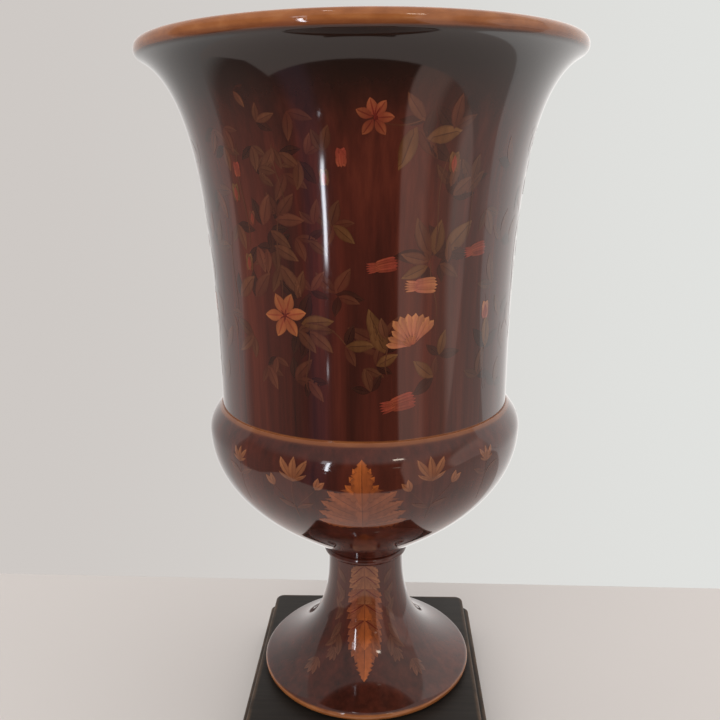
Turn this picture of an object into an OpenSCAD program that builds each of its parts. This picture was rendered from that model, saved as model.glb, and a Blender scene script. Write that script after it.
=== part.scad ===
// Campana urn on a stepped square plinth.
// A flared bell over a round belly, on a hollow trumpet foot, held to its plinth by one long bolt.
// Millimetres. The origin is at the centre of the base, at the underside of the pads, and +Z is up.

/* [Bell] */
// Outside diameter over the rounded lip
mouth_d = 234; // [210:1:280]
// Outside diameter where the bell stands on the belly
waist_d = 165; // [140:1:168]
// Height from the line between bell and belly up to the top of the lip
bell_h = 192; // [150:1:240]
// Height over which the bottom of the bell is nearly straight
bell_straight = 108; // [60:1:120]
// Slope of the flare at the lip, in degrees from level
flare_angle = 28; // [15:1:50]
// How far the flare's slope pulls the wall, along its own line
flare_pull = 30; // [20:1:50]
// Thickness of the rounded lip
lip_t = 8.5; // [6:0.5:10]

/* [Belly] */
// Outside diameter at the widest point
belly_d = 181; // [176:0.5:220]
// Height from the neck joint up to the line between bell and belly
belly_h = 95; // [92:1:120]
// Height of the widest point above the neck joint
belly_mid = 80; // [60:1:82]
// Outside diameter of the collar at the bottom of the belly
collar_d = 52; // [50:1:64]
// Slope of the underside next to the collar, in degrees from level
under_angle = 45; // [30:1:55]
// How far that slope pulls the underside, along its own line
under_pull = 23; // [15:1:40]

/* [Ceramic walls] */
// Thickness of the bowl's wall
wall = 5.5; // [4:0.5:8]
// Thickness of the bowl's floor under the bolt's washers
floor_t = 8; // [6:0.5:12]
// Thickness of the foot's wall
foot_wall = 5; // [4:0.5:7]
// Thickness of the deck that closes the top of the foot
deck_t = 8; // [6:0.5:12]

/* [Pedestal foot] */
// Outside diameter of the foot's edge
foot_d = 130; // [110:1:132]
// Height of the foot
foot_h = 81; // [68:1:110]
// Outside diameter of the neck
neck_d = 46; // [42:1:49]
// Outside diameter of the bead around the top of the neck
bead_d = 51.5; // [50:0.5:53]
// Height of the bead
bead_h = 5; // [3:0.5:6]
// Thickness of the foot's rounded edge
edge_t = 5.5; // [4:0.5:8]
// Slope of the foot's upper side next to its edge, in degrees from level
sweep_angle = 23; // [10:1:35]
// How far that slope pulls the foot, along its own line
sweep_pull = 31; // [20:1:36]
// How far the neck's straight pulls the foot, along its own line
neck_pull = 37; // [25:1:45]
// Width of the flat ring that the foot rests on
rest_w = 9; // [6:0.5:12]

/* [Plinth] */
// Width of the upper slab
top_w = 136; // [132:1:160]
// Thickness of the upper slab
top_h = 12; // [9:0.5:20]
// Width of the lower slab
base_w = 146; // [140:1:180]
// Thickness of the lower slab
base_h = 15; // [12:0.5:30]
// Radius of the slabs' upright corners
corner_r = 5.5; // [3:0.5:10]
// Radius of the slabs' softened upper edges
edge_r = 1.2; // [0.5:0.1:2.5]

/* [Soft washers and pads] */
// Thickness of the ring between the foot and the plinth
foot_gasket_t = 1; // [0.5:0.5:2]
// Thickness of the ring between the foot and the bowl
neck_gasket_t = 1; // [0.5:0.5:2]
// Thickness of the soft washer inside the bowl
bowl_gasket_t = 1.5; // [1:0.5:3]
// Diameter of the soft washer inside the bowl
bowl_gasket_d = 42; // [34:1:46]
// Thickness of the felt pads
pad_t = 2; // [1.5:0.5:5]
// Diameter of the felt pads
pad_d = 18; // [12:1:22]
// Distance of a pad's centre from the lower slab's sides
pad_inset = 14; // [12:1:18]

/* [Tie bolt] */
// Diameter of the bolt
bolt_d = 8; // [6:1:10]
// Width of its hexagonal head and of the nut, over the flats
hex_w = 13; // [12:1:17]
// Height of its head
head_h = 5.3; // [4:0.1:7]
// Height of the nut
nut_h = 6.5; // [5:0.1:7]
// Diameter of the washers
washer_d = 38; // [30:1:42]
// Thickness of the washers
washer_t = 2; // [1.5:0.5:3]
// Length of thread that stands out below the nut
bolt_end = 1; // [0.5:0.1:1.5]
// Diameter of the counterbore under the plinth
counterbore_d = 42; // [40:1:48]
// Depth of the counterbore
counterbore_h = 11; // [10.5:0.1:11.5]

/* [Plinth screws] */
// Diameter of a screw's shank
screw_d = 4; // [3:0.5:4.5]
// Length of a screw
screw_len = 22; // [18:0.5:24]
// Diameter of its countersunk head
screw_head_d = 8; // [7:0.5:9]
// Distance between the screws
screw_pitch = 90; // [74:1:96]

/* [Clearances] */
// Extra diameter of every hole that the bolt passes through
bolt_clear = 1; // [0.5:0.1:2]
// Extra diameter of the nut's thread
thread_clear = 0.2; // [0.1:0.1:0.6]
// Extra diameter of the holes around the screws
screw_clear = 0.3; // [0.2:0.1:1]

/* [Hidden] */
$fn = 96;
through = 1;                              // how far a cut runs past the face that it opens
curve_steps = 24;                         // stretches in one long curve of an outline
arc_steps = 10;                           // stretches in one short round
hex_corners = 6;

mouth_r = mouth_d / 2;
waist_r = waist_d / 2;
belly_r = belly_d / 2;
collar_r = collar_d / 2;
foot_r = foot_d / 2;
neck_r = neck_d / 2;
bolt_hole_r = (bolt_d + bolt_clear) / 2;

// Heights of the faces on which the pieces stack
base_z = pad_t;
slab_joint_z = base_z + base_h;
plinth_z = slab_joint_z + top_h;
foot_z = plinth_z + foot_gasket_t;
foot_top_z = foot_z + foot_h;
bowl_z = foot_top_z + neck_gasket_t;
floor_z = bowl_z + floor_t;
waist_z = bowl_z + belly_h;
lip_z = waist_z + bell_h;
head_z = floor_z + bowl_gasket_t + washer_t;
seat_z = base_z + counterbore_h;
nut_z = seat_z - washer_t - nut_h;
bolt_end_z = nut_z - bolt_end;

// Shape of the joint between bell and belly
ledge = 0.6;                              // step from the bell's wall out to the shoulder
shoulder_out = 3.5;                       // how far the shoulder runs outward before it turns down
shoulder_fall = 4.7;                      // how far it falls on the way
shoulder_turn = 6.3;                      // how far the widest point's upright line holds above it
belly_turn = 42.5;                        // and below it
inner_turn = 12;                          // the same for the wall inside the shoulder

// A point of the cubic curve with the four handles p
function on_curve(p, t) =
    pow(1 - t, 3) * p[0] + 3 * pow(1 - t, 2) * t * p[1]
    + 3 * (1 - t) * t * t * p[2] + pow(t, 3) * p[3];

// The direction in which that curve runs there
function along(p, t) =
    pow(1 - t, 2) * (p[1] - p[0]) + 2 * (1 - t) * t * (p[2] - p[1]) + t * t * (p[3] - p[2]);

// The whole curve, moved sideways to its left by side
function curve(p, n, side = 0) =
    [for (i = [0:n]) let (v = along(p, i / n))
        on_curve(p, i / n) + side * [-v[1], v[0]] / norm(v)];

function turned(pts) = [for (i = [len(pts) - 1:-1:0]) pts[i]];

// An arc about c from angle a to angle b
function arc(c, r, a, b, n) =
    [for (i = [0:n]) let (w = a + (b - a) * i / n) c + r * [cos(w), sin(w)]];

function heading(angle) = [cos(angle), sin(angle)];

// Bell: upright at the waist, then out along the flare to the lip's rounded nose
nose_r = lip_t / 2;
nose_c = [mouth_r - nose_r, lip_z - nose_r];
function bell_line(r, end) = [
    [r, waist_z],
    [r, waist_z + bell_straight],
    end - flare_pull * heading(flare_angle),
    end];
bell_outside = bell_line(waist_r, nose_c - nose_r * heading(flare_angle + 90));
bell_inside = bell_line(waist_r - wall, nose_c + nose_r * heading(flare_angle + 90));

// Belly: up and out from the collar to the widest point
belly_z = bowl_z + belly_mid;
belly_line = [
    [collar_r, bowl_z],
    [collar_r, bowl_z] + under_pull * heading(under_angle),
    [belly_r, belly_z - belly_turn],
    [belly_r, belly_z]];

// Shoulder: from the widest point round to the waist
shoulder_line = [
    [belly_r, belly_z],
    [belly_r, belly_z + shoulder_turn],
    [waist_r + ledge + shoulder_out, waist_z - shoulder_fall],
    [waist_r + ledge, waist_z]];

// Inside of the shoulder: one smooth wall from the belly into the bell
inner_line = [
    [belly_r - wall, belly_z],
    [belly_r - wall, belly_z + inner_turn],
    [waist_r - wall, waist_z - inner_turn],
    [waist_r - wall, waist_z]];

// Foot: down the neck and out to the rounded edge
bead_z = foot_top_z - bead_h / 2;
bead_c = [bead_d / 2 - bead_h / 2, bead_z];
neck_z = foot_top_z - bead_h;
neck_straight = 4;                        // upright stretch of the neck under the bead
edge_c = [foot_r - edge_t / 2, foot_z + edge_t / 2];
sweep_end = edge_c + edge_t / 2 * heading(90 - sweep_angle);
foot_line = [
    [neck_r, neck_z - neck_straight],
    [neck_r, neck_z - neck_straight - neck_pull],
    sweep_end + sweep_pull * heading(180 - sweep_angle),
    sweep_end];

module ring(outer_r, inner_r, h, z) {
    translate([0, 0, z])
        difference() {
            cylinder(r = outer_r, h = h);
            translate([0, 0, -through])
                cylinder(r = inner_r, h = h + 2 * through);
        }
}

module hexagon(h, z) {
    translate([0, 0, z])
        cylinder(d = hex_w / cos(180 / hex_corners), h = h, $fn = hex_corners);
}

// Half section of a slab's border, with its upper edge rounded
module slab_section(h) {
    square([corner_r, h - edge_r]);
    square([corner_r - edge_r, h]);
    translate([corner_r - edge_r, h - edge_r])
        circle(r = edge_r);
}

// A square slab with round corners and a softened upper edge
module slab(w, h) {
    reach = w / 2 - corner_r;
    for (sx = [-1, 1], sy = [-1, 1])
        translate([sx * reach, sy * reach, 0])
            rotate_extrude()
                intersection() {
                    slab_section(h);
                    square([corner_r, h]);
                }
    for (a = [0:90:270])
        rotate([90, 0, a])
            translate([reach, 0, -reach])
                linear_extrude(2 * reach)
                    slab_section(h);
    translate([-reach, -reach, 0])
        cube([2 * reach, 2 * reach, h]);
}

module at_screws() {
    for (sx = [-1, 1], sy = [-1, 1])
        translate([sx * screw_pitch / 2, sy * screw_pitch / 2, base_z])
            children();
}

// A countersunk screw, point up, or with extra the hole for it
module screw(extra, len) {
    head_r = (screw_head_d + extra) / 2;
    shank_r = (screw_d + extra) / 2;
    cone_h = head_r - shank_r;
    cylinder(r1 = head_r, r2 = shank_r, h = cone_h);
    cylinder(r = shank_r, h = len);
}

module urn_bowl() {
    outer = concat(curve(belly_line, curve_steps), curve(shoulder_line, arc_steps),
        curve(bell_outside, curve_steps));
    nose = arc(nose_c, nose_r, flare_angle - 90, flare_angle + 90, arc_steps);
    inner = concat(turned(curve(bell_inside, curve_steps)), turned(curve(inner_line, arc_steps)),
        turned([for (q = curve(belly_line, curve_steps, wall)) if (q[1] > floor_z + wall / 2) q]));
    floor_r = inner[len(inner) - 1][0] - wall / 2;
    color("saddlebrown")
        rotate_extrude()
            polygon(concat([[bolt_hole_r, bowl_z]], outer, nose, inner,
                [[floor_r, floor_z], [bolt_hole_r, floor_z]]));
}

module pedestal_foot() {
    sweep = curve(foot_line, curve_steps);
    hollow = [for (q = curve(foot_line, curve_steps, -foot_wall))
        if (q[0] < foot_r - edge_t / 2 - rest_w && q[1] > foot_z + through) q];
    rest_r = foot_r - edge_t / 2 - rest_w;
    deck_z = foot_top_z - deck_t;
    color("saddlebrown")
        rotate_extrude()
            polygon(concat([[bolt_hole_r, deck_z], [neck_r - foot_wall, deck_z]], hollow,
                [[rest_r, foot_z]],
                arc(edge_c, edge_t / 2, -90, 90 - sweep_angle, arc_steps), turned(sweep),
                [[neck_r, neck_z]],
                arc(bead_c, bead_h / 2, -90, 90, arc_steps),
                [[bolt_hole_r, foot_top_z]]));
}

module plinth_top() {
    color("#241f1c")
        difference() {
            translate([0, 0, slab_joint_z])
                slab(top_w, top_h);
            cylinder(r = bolt_hole_r, h = plinth_z + through);
            at_screws()
                screw(screw_clear, screw_len + screw_clear);
        }
}

module plinth_base() {
    color("#2b2420")
        difference() {
            translate([0, 0, base_z])
                slab(base_w, base_h);
            cylinder(r = bolt_hole_r, h = slab_joint_z + through);
            cylinder(d = counterbore_d, h = seat_z);
            at_screws()
                screw(screw_clear, screw_len);
        }
}

module tie_bolt() {
    color("silver")
        union() {
            hexagon(head_h, head_z);
            translate([0, 0, bolt_end_z])
                cylinder(d = bolt_d, h = head_z - bolt_end_z);
        }
}

module bowl_washer() {
    color("silver") ring(washer_d / 2, bolt_hole_r, washer_t, floor_z + bowl_gasket_t);
}

module bowl_gasket() {
    color("dimgray") ring(bowl_gasket_d / 2, bolt_hole_r, bowl_gasket_t, floor_z);
}

module neck_gasket() {
    color("dimgray") ring(bead_c[0], bolt_hole_r, neck_gasket_t, foot_top_z);
}

module foot_gasket() {
    color("dimgray")
        ring(foot_r - edge_t / 2, foot_r - edge_t / 2 - rest_w, foot_gasket_t, plinth_z);
}

module plinth_washer() {
    color("silver") ring(washer_d / 2, bolt_hole_r, washer_t, seat_z - washer_t);
}

module tie_nut() {
    color("silver")
        difference() {
            hexagon(nut_h, nut_z);
            cylinder(d = bolt_d + thread_clear, h = seat_z);
        }
}

module plinth_screws() {
    slot_w = 1;
    slot_h = 1;
    color("gray")
        at_screws()
            difference() {
                screw(0, screw_len);
                for (a = [0, 90])
                    rotate([0, 0, a])
                        translate([-screw_d / 2, -slot_w / 2, -through])
                            cube([screw_d, slot_w, slot_h + through]);
            }
}

module base_pads() {
    reach = base_w / 2 - pad_inset;
    color("darkolivegreen")
        for (sx = [-1, 1], sy = [-1, 1])
            translate([sx * reach, sy * reach, 0])
                cylinder(d = pad_d, h = pad_t);
}

urn_bowl();
pedestal_foot();
plinth_top();
plinth_base();
tie_bolt();
bowl_washer();
bowl_gasket();
neck_gasket();
foot_gasket();
plinth_washer();
tie_nut();
plinth_screws();
base_pads();
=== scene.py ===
# %% [markdown]
# # A campana urn in mahogany glaze, on an ebonised plinth
# The urn is thrown or cast in two pieces of white ware, a bowl and a pedestal
# foot, glazed dark red-brown and painted with leaves and flowers. A bolt
# through both of them pulls them down on a square wooden plinth. This lesson
# loads the CAD assembly as a fixed frame and gives it its looks. The
# shapes stay those of the CAD: bowl and foot are turned once more, smoothly, on
# the same lines, and the paint and the finishes are new.

import math

import bpy
import numpy as np
from mathutils import Matrix, Vector


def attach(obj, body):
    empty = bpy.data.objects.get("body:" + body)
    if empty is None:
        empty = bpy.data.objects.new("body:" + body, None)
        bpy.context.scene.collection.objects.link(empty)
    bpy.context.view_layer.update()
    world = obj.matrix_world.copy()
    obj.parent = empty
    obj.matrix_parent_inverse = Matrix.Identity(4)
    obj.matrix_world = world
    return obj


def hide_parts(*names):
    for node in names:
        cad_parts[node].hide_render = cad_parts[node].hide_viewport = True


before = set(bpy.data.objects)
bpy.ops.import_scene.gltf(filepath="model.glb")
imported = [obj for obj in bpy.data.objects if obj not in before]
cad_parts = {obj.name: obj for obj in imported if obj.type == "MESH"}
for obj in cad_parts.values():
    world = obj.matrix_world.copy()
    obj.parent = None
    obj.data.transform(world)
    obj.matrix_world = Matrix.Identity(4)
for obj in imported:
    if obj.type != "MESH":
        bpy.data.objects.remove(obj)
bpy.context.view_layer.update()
MM = 0.001
print("nodes:", sorted(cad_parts))

# %% [markdown]
# ## The camera
# The urn is looked at from a hand's height, a little above its middle, with
# the lens of a telephone. The camera is turned down fifteen degrees, so the
# picture ends on the plinth. The lip is higher than the camera, so the mouth
# is seen a little from below.

# %% Camera
def placed(name, data):
    """A new object in the scene, made from its data."""
    made = bpy.data.objects.new(name, data)
    bpy.context.scene.collection.objects.link(made)
    return made


camera_data = bpy.data.cameras.new("camera")
camera_data.lens, camera_data.sensor_width = 38.29, 36.0
camera_data.clip_start, camera_data.clip_end = 0.01, 50.0
camera = placed("camera", camera_data)
bpy.context.scene.camera = camera

CAMERA_AT = (0.01495, -0.43454, 0.34267)
HEADING, DIP, ROLL = math.radians(-2.27), math.radians(14.88), math.radians(-0.60)
ahead = Vector((math.sin(HEADING) * math.cos(DIP), math.cos(HEADING) * math.cos(DIP), -math.sin(DIP)))
right = ahead.cross(Vector((0, 0, 1))).normalized()
above = right.cross(ahead)
right, above = (math.cos(ROLL) * right + math.sin(ROLL) * above,
                -math.sin(ROLL) * right + math.cos(ROLL) * above)
turn = Matrix((right, above, -ahead)).transposed()
camera.matrix_world = Matrix.Translation(CAMERA_AT) @ turn.to_4x4()
print("camera at", [round(v, 3) for v in camera.location], "lens", camera_data.lens)

# %% [markdown]
# ## Small tools for finishes
# A finish, or a sky, is a little network of nodes with inputs and outputs. Each
# of these helpers adds one kind of node, so the cells below read like recipes:
# put a noise in, spread it over a range, blend two colours by it.

# %% Node helpers
def put(tree, kind, inputs=(), **settings):
    """Adds a node; inputs are (socket, value) pairs, a value being a number or an output."""
    node = tree.nodes.new(kind)
    for key, value in settings.items():
        setattr(node, key, value)
    for socket, value in inputs:
        if isinstance(value, bpy.types.NodeSocket):
            tree.links.new(value, node.inputs[socket])
        else:
            node.inputs[socket].default_value = value
    return node


def ramp(tree, factor, stops):
    """A colour ramp from (position, colour) stops; returns its colour."""
    node = put(tree, "ShaderNodeValToRGB", [(0, factor)])
    elements = node.color_ramp.elements
    while len(elements) < len(stops):
        elements.new(0.5)
    for element, (position, colour) in zip(elements, stops):
        element.position, element.color = position, (*colour, 1)
    return node.outputs[0]


def spread(tree, value, start, end, low=0.0, high=1.0, smooth=True):
    """Maps a value from start..end to low..high, clamped, with eased ends if smooth."""
    return put(tree, "ShaderNodeMapRange", [("Value", value), ("From Min", start), ("From Max", end),
                                            ("To Min", low), ("To Max", high)],
               interpolation_type="SMOOTHSTEP" if smooth else "LINEAR").outputs[0]


def blend(tree, share, a, b, mode="MIX"):
    """Mixes two colours, each a socket or three numbers."""
    a, b = ((*v, 1) if isinstance(v, tuple) else v for v in (a, b))
    return put(tree, "ShaderNodeMix", [(0, share), (6, a), (7, b)],
               data_type="RGBA", blend_type=mode).outputs[2]


def maths(tree, operation, a, b=0.0, c=0.0):
    """One Math node on sockets or numbers."""
    return put(tree, "ShaderNodeMath", [(0, a), (1, b), (2, c)], operation=operation).outputs[0]


def finish_of(name, roughness, specular=0.5):
    """A new material with its Principled shader; constants go on its own sockets."""
    material = bpy.data.materials.new(name)
    material.use_nodes = True
    shader = material.node_tree.nodes["Principled BSDF"]
    shader.inputs["Roughness"].default_value = roughness
    shader.inputs["Specular IOR Level"].default_value = specular
    return material, material.node_tree, shader


# %% [markdown]
# ## Floor, light and what the gloss sees
# A glossy glaze is mostly a picture of the room. So the room is built twice:
# a plain pale floor and a soft sky that light the urn and stand behind it, and
# a few cards that only reflections can see, as a studio hangs white boards
# around a bottle: a shelf, a wall, a tall window and a few lamps.

# %% Floor
def sheet_mesh(name, corners):
    """One flat face through the given points."""
    mesh = bpy.data.meshes.new(name)
    mesh.from_pydata([tuple(c) for c in corners], [], [tuple(range(len(corners)))])
    return placed(name, mesh)


FLOOR, BACK, SLANT = 3.0, 0.1356, 0.0191
floor = sheet_mesh("floor", [(-FLOOR, -FLOOR, 0), (FLOOR, -FLOOR, 0), (FLOOR, BACK - SLANT * FLOOR, 0),
                             (-FLOOR, BACK + SLANT * FLOOR, 0)])
floor_paint, _, floor_shader = finish_of("pale_floor", 0.6, 0.15)
floor_shader.inputs["Base Color"].default_value = (0.66, 0.625, 0.605, 1)
floor.data.materials.append(floor_paint)
floor.visible_glossy = False
print("floor in metres:", [round(v, 2) for v in floor.dimensions])

# %% Sky
world = bpy.data.worlds.new("sky")
bpy.context.scene.world = world
world.use_nodes = True
sky = world.node_tree
sky.nodes.clear()
split = put(sky, "ShaderNodeSeparateXYZ", [(0, put(sky, "ShaderNodeTexCoord").outputs["Generated"])]).outputs
paths = put(sky, "ShaderNodeLightPath").outputs

# where a reflection points, as the part along X: left end of the room to the right end
ROOM_DARK, VIOLET, VEIL = (0.050, 0.036, 0.034), (0.20, 0.155, 0.23), (1.20, 0.85, 0.74)
ROOM_STOPS = [
    (-0.97, (0.32, 0.29, 0.275)), (-0.74, (0.22, 0.175, 0.165)), (-0.64, (0.12, 0.090, 0.098)),
    (-0.57, VIOLET), (-0.44, VIOLET), (-0.36, (0.085, 0.064, 0.078)), (-0.20, ROOM_DARK), (0.435, ROOM_DARK),
    (0.450, (1.20, 0.88, 0.78)), (0.66, VEIL), (0.72, (0.62, 0.42, 0.37)), (0.86, (0.78, 0.54, 0.46)),
    (0.90, (1.75, 1.36, 1.22)), (0.985, (1.30, 1.10, 1.04))]
# the wall behind the urn as the camera sees it: painted shade to the left, painted light to the right
WALL_SHADE_TO_LIGHT = (0.615, 0.580, 0.555), (0.755, 0.765, 0.745)

front = ramp(sky, spread(sky, split["X"], -1.0, 1.0, smooth=False), [((x + 1) / 2, c) for x, c in ROOM_STOPS])
around = blend(sky, spread(sky, split["Y"], 0.05, 0.30), front, (0.78, 0.75, 0.72))
ceiling = blend(sky, spread(sky, split["X"], -0.2, 0.8), (0.58, 0.51, 0.50), (0.95, 0.88, 0.84))
room = blend(sky, spread(sky, split["Z"], 0.34, 0.60), around, ceiling)
wall_painted_light = blend(sky, spread(sky, split["X"], -0.5, 0.5), *WALL_SHADE_TO_LIGHT)


def background(colour):
    """One background shader in a colour."""
    colour = (*colour, 1) if isinstance(colour, tuple) else colour
    return put(sky, "ShaderNodeBackground", [("Color", colour)]).outputs[0]


# soft light takes the even dome, reflections the room, and the camera the wall, with painted shade on its
# left and painted light on its right
light = background((0.50, 0.485, 0.47))
for seen_by, colour in (("Is Glossy Ray", room), ("Is Camera Ray", wall_painted_light)):
    choice = [(0, paths[seen_by]), (1, light), (2, background(colour))]
    light = put(sky, "ShaderNodeMixShader", choice).outputs[0]
put(sky, "ShaderNodeOutputWorld", [(0, light)])
print("sky nodes:", len(sky.nodes))


# %% Lamps and cards
# lamps light the urn and stay out of its gloss; cards show in its gloss and light nothing
def aim(thing, place, target):
    """Puts a lamp or card at place with its back (+Z) turned away from target."""
    thing.matrix_world = Matrix.Translation(place) @ (
        (Vector(target) - Vector(place)).to_track_quat("-Z", "Y").to_matrix().to_4x4())


def softbox(name, place, target, width, height, watts, colour=(1, 1, 1)):
    """A large soft lamp that lights the piece but isn't seen in its gloss."""
    data = bpy.data.lights.new(name, "AREA")
    data.shape, data.size, data.size_y = "RECTANGLE", width, height
    data.energy, data.color = watts, colour
    lamp = placed(name, data)
    lamp.visible_glossy = False
    lamp.visible_camera = False
    aim(lamp, place, target)


def glowing(name, corners, strength, colour=(1, 1, 1)):
    """A flat glowing board through corners, that only reflections see."""
    board = sheet_mesh(name, corners)
    glow = bpy.data.materials.new(name)
    glow.use_nodes = True
    tree = glow.node_tree
    tree.nodes.clear()
    lit = put(tree, "ShaderNodeEmission", [("Color", (*colour, 1)), ("Strength", strength)])
    put(tree, "ShaderNodeOutputMaterial", [(0, lit.outputs[0])])
    board.data.materials.append(glow)
    board.visible_camera = board.visible_diffuse = board.visible_shadow = False
    board.visible_transmission = False
    return board


def card(name, place, target, width, height, strength, colour=(1, 1, 1)):
    """A glowing rectangle at a place, turned to a target."""
    w, h = width / 2, height / 2
    board = glowing(name, [(-w, -h, 0), (w, -h, 0), (w, h, 0), (-w, h, 0)], strength, colour)
    aim(board, place, target)


def upright(name, x, y, z, strength, colour=(1, 1, 1)):
    """A glowing rectangle that stands across Y, from (low, high) pairs of x and z."""
    (left, right), (low, high) = x, z
    corners = [(left, y, low), (right, y, low), (right, y, high), (left, y, high)]
    return glowing(name, corners, strength, colour)


# %% Lamps and boards in place
HEART = (0, 0, 0.2)
softbox("front_soft", (-0.5, -1.5, 1.1), HEART, 1.6, 1.2, 15, (1.0, 0.97, 0.94))
softbox("top_soft", (0.3, 0.1, 1.9), HEART, 2.2, 2.2, 15, (1.0, 0.985, 0.97))
softbox("back_soft", (0.2, 1.6, 1.2), HEART, 1.6, 1.2, 7, (1.0, 0.98, 0.97))
WARM, COOL = (1.0, 0.90, 0.76), (0.88, 0.92, 1.0)

# the shelf the urn stands on, and the wall behind it, which is brighter to the right
SHELF_FRONT, SHELF_LEFT, SHELF_RIGHT, WALL_TOP = -0.288, -0.405, 1.6, 0.80
SHELF_EDGE = [(SHELF_LEFT, SHELF_FRONT), (0.60, SHELF_FRONT), (SHELF_RIGHT, SHELF_FRONT), (SHELF_RIGHT, BACK),
              (-0.56, BACK), (-0.46, 0.035), (-0.392, -0.12)]
glowing("shelf_card", [(x, y, 0.0005) for x, y in SHELF_EDGE], 0.84, (1.0, 0.905, 0.855))
wall_card = upright("wall_card", (-1.3, 1.3), BACK, (0.0, WALL_TOP), 1.0, (1.0, 0.97, 0.945))
wall_tree = wall_card.data.materials[0].node_tree
wall_place = put(wall_tree, "ShaderNodeTexCoord").outputs["Object"]
along_wall = put(wall_tree, "ShaderNodeSeparateXYZ", [(0, wall_place)]).outputs["X"]
brighter = spread(wall_tree, along_wall, -0.30, 0.30, 0.80, 1.42, smooth=False)
wall_tree.links.new(brighter, wall_tree.nodes["Emission"].inputs["Strength"])

# one tall window gives the long light on the bell, the spot on the belly and those on the foot
WINDOW_Y = -0.501
upright("window_card", (-0.211, -0.190), WINDOW_Y, (0.176, 0.430), 24.0, COOL)
upright("window_dot_card", (-0.215, -0.206), WINDOW_Y, (0.094, 0.103), 12.0, COOL)
upright("window_foot_card", (-0.207, -0.195), WINDOW_Y, (0.136, 0.176), 0.30, (0.85, 0.80, 1.0))
card("high_window_card", (-0.49, -1.05, 0.741), HEART, 0.13, 0.20, 4.0, COOL)
card("lamp_card", (0.48, -0.95, 0.90), HEART, 0.15, 0.07, 14.0, WARM)
card("low_lamp_card", (0.494, -1.168, 0.415), HEART, 0.10, 0.035, 3.0, WARM)
card("ceiling_card", (-0.183, -0.388, 1.4), HEART, 0.06, 0.06, 14.0)
glowing("frame_card", [(0.57, 0.154, 0.03), (0.59, 0.154, 0.03), (0.70, -0.13, 0.39), (0.68, -0.13, 0.39)],
        0.10, (1.0, 0.8, 0.7))
bpy.context.scene.view_settings.view_transform = "Standard"

# %% [markdown]
# ## The outlines
# A potter turns both bodies on a wheel against a wooden template, and a
# template is a line: its distance from the axis at each height. The bell is
# one long curve from the belly to the rolled lip, the belly a quarter round,
# and the foot a trumpet. Each line here is a Bezier curve with the same four
# points as the CAD, so the smooth surface lies on the CAD's skin.


# %% Curves
def bezier(points, steps):
    """Cubic Bezier: (1-t)^3 A + 3(1-t)^2 t B + 3(1-t) t^2 C + t^3 D, t from 0 to 1."""
    a, b, c, d = (np.array(p, float) for p in points)
    t = np.linspace(0, 1, steps + 1)[:, None]
    return (1 - t) ** 3 * a + 3 * (1 - t) ** 2 * t * b + 3 * (1 - t) * t * t * c + t ** 3 * d


def arc(centre, radius, start, end, steps):
    """Points at centre + radius (cos, sin), from the start to the end angle in degrees."""
    angle = np.radians(np.linspace(start, end, steps + 1))
    return np.c_[centre[0] + radius * np.cos(angle), centre[1] + radius * np.sin(angle)]


def line(a, b, steps):
    """Evenly spaced points from a to b."""
    t = np.linspace(0, 1, steps + 1)[:, None]
    return np.array(a, float) * (1 - t) + np.array(b, float) * t


def joined(*parts):
    """One line from several, without the points that come twice."""
    points = np.vstack(parts)
    step = np.hypot(*np.diff(points, axis=0).T)
    return points[np.r_[True, step > 0.02]]


def inset(points, distance):
    """The line moved sideways by a distance, to its left for a plus sign."""
    along = np.gradient(points, axis=0)
    along /= np.hypot(*along.T)[:, None]
    return points + distance * np.c_[-along[:, 1], along[:, 0]]


NECK_R, BOWL_Z, BELLY_R, BELLY_Z, WAIST_Z = 23.0, 112.0, 90.5, 192.0, 207.0
BELLY = bezier([(26, BOWL_Z), (42.263, 128.263), (BELLY_R, 149.5), (BELLY_R, BELLY_Z)], 64)
SHOULDER = bezier([(BELLY_R, BELLY_Z), (BELLY_R, 198.3), (86.6, 202.3), (83.1, WAIST_Z)], 12)
BELL = bezier([(82.5, WAIST_Z), (82.5, 315), (88.257, 376.914), (114.745, 390.998)], 96)
NOSE = arc((112.75, 394.75), 4.25, -62, 118, 14)
BELL_INSIDE = bezier([(77, WAIST_Z), (77, 315), (84.267, 384.418), (110.755, 398.502)], 60)
INNER_BELLY = bezier([(85, BELLY_Z), (85, 204), (77, 195), (77, WAIST_Z)], 10)
FLARE = bezier([(NECK_R, 102), (NECK_R, 65), (34.789, 47.394), (63.325, 35.281)], 80)
NECK_TOP = [(NECK_R, 106)]
EDGE = arc((62.25, 32.75), 2.75, -90, 67, 10)
BEAD = arc((23.25, 108.5), 2.5, -90, 90, 12)
print("points: bell", len(BELL), "belly", len(BELLY), "foot", len(FLARE))

# %% [markdown]
# ## Bowl and foot as turned surfaces
# A line swept round the axis is a grid: one parameter runs round, the other
# along the line. Both sections are closed loops, because bolt holes run
# through bowl and foot, so the grid closes on itself both ways and has no
# poles. A "skin" mark on each point tells the glaze which side is outside.


# %% Turned surfaces
AROUND = 288


def grid_faces(rows, columns):
    """Quads of a grid that closes in both directions; columns run round the axis."""
    i, j = np.meshgrid(np.arange(rows), np.arange(columns), indexing="ij")
    k, m = (i + 1) % rows, (j + 1) % columns
    return np.stack([i * columns + j, i * columns + m, k * columns + m, k * columns + j], -1).reshape(-1, 4)


def put_mesh(name, points, faces, smooth_below=40):
    """A mesh object from arrays in mm: quads as rows of four, smooth below an angle."""
    mesh = bpy.data.meshes.new(name)
    mesh.vertices.add(len(points))
    mesh.vertices.foreach_set("co", (np.asarray(points) * MM).astype(np.float32).ravel())
    mesh.loops.add(faces.size)
    mesh.loops.foreach_set("vertex_index", faces.astype(np.int32).ravel())
    mesh.polygons.add(len(faces))
    mesh.polygons.foreach_set("loop_start", np.arange(0, faces.size, faces.shape[1], dtype=np.int32))
    mesh.update(calc_edges=True)
    mesh.validate()
    mesh.shade_smooth()
    mesh.set_sharp_from_angle(angle=math.radians(smooth_below))
    return placed(name, mesh)


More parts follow.
